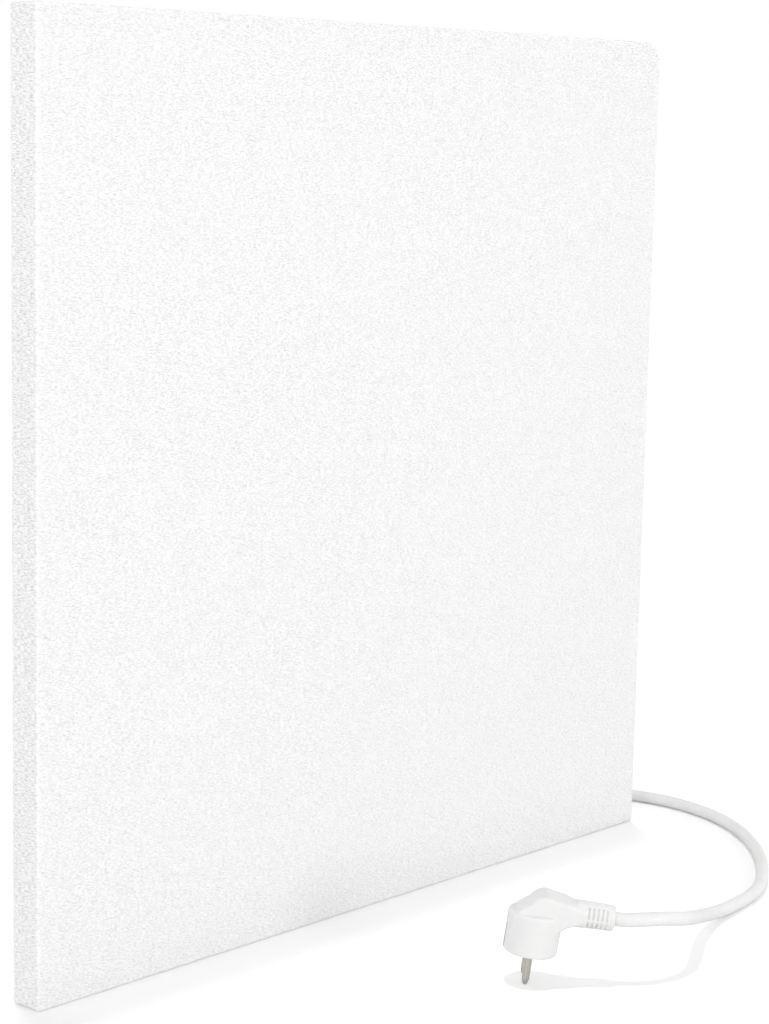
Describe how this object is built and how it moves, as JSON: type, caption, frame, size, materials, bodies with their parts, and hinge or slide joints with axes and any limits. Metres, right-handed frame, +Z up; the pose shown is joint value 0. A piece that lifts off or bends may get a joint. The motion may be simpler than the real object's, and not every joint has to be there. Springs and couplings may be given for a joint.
{
  "type": "infrared panel heater",
  "caption": "Flat square infrared heating panel in a shallow white steel housing, with wall hangers, a connection box behind and a coiled mains lead ending in a right-angled plug.",
  "frame": {"origin": "on the ground line under the middle of the panel: the middle of the base of the bounding box, measured without the free cord and its plug", "axes": "+X to the right along the radiating face, +Y from the radiating face through to the wall side, +Z up"},
  "size_m": [0.6577, 0.3958, 0.6],
  "materials": {
    "white_coat": "finely grained white powder coat",
    "laminate": "matt glass-fibre laminate",
    "resistance_foil": "dark dull resistance strip",
    "brass_tab": "plain pressed brass",
    "amber_film": "amber film",
    "bright_foil": "bright foil",
    "fibre_board": "pressed mineral fibre",
    "zinc_steel": "bright zinc plating",
    "limiter_black": "moulded, dull",
    "sleeve_brown": "silicone sleeve",
    "sleeve_blue": "silicone sleeve",
    "sleeve_green": "silicone sleeve, green with a yellow stripe",
    "white_plastic": "fine spark-eroded texture",
    "terminal_plastic": "moulded, natural",
    "black_rubber": "matt",
    "white_rubber": "matt",
    "cord_white": "smooth satin sheath",
    "plug_white": "satin moulding",
    "pin_nickel": "nickel plated",
    "tie_strap": "woven strap"
  },
  "bodies": {
    "root": {"front_housing": "white_coat", "heating_carrier": "laminate", "heating_conductor": "resistance_foil", "contact_tab_live": "brass_tab", "contact_tab_neutral": "brass_tab", "insulating_film": "amber_film", "reflector_foil": "bright_foil", "insulation_board": "fibre_board", "back_cover": "white_coat", "cover_screw_1": "zinc_steel", "cover_screw_2": "zinc_steel", "cover_screw_3": "zinc_steel", "cover_screw_4": "zinc_steel", "cover_screw_5": "zinc_steel", "cover_screw_6": "zinc_steel", "cover_screw_7": "zinc_steel", "cover_screw_8": "zinc_steel", "thermal_limiter_1": "limiter_black", "thermal_limiter_2": "limiter_black", "live_lead": "sleeve_brown", "link_lead": "sleeve_brown", "element_lead": "sleeve_brown", "neutral_lead": "sleeve_blue", "box_base": "white_plastic", "box_lid": "white_plastic", "lid_screw_1": "zinc_steel", "lid_screw_2": "zinc_steel", "box_screw_1": "zinc_steel", "box_screw_2": "zinc_steel", "terminal_block": "terminal_plastic", "terminal_screw_1": "brass_tab", "terminal_screw_2": "brass_tab", "terminal_screw_3": "brass_tab", "wire_bush": "black_rubber", "earth_stud": "zinc_steel", "earth_tag": "brass_tab", "earth_nut": "zinc_steel", "earth_lead": "sleeve_green", "core_live": "sleeve_brown", "core_neutral": "sleeve_blue", "core_earth": "sleeve_green", "cord_relief": "white_plastic", "hanger_left": "zinc_steel", "hanger_right": "zinc_steel", "hanger_rivet_1": "zinc_steel", "hanger_rivet_2": "zinc_steel", "hanger_rivet_3": "zinc_steel", "hanger_rivet_4": "zinc_steel", "spacer_left": "white_rubber", "spacer_right": "white_rubber", "plug_body": "plug_white", "plug_pin_1": "pin_nickel", "plug_pin_2": "pin_nickel", "plug_earth_contact_1": "pin_nickel", "plug_earth_contact_2": "pin_nickel", "cord_run": "cord_white", "cord_coil": "cord_white", "cord_lead": "cord_white", "coil_tie": "tie_strap"}
  },
  "joints": []
}
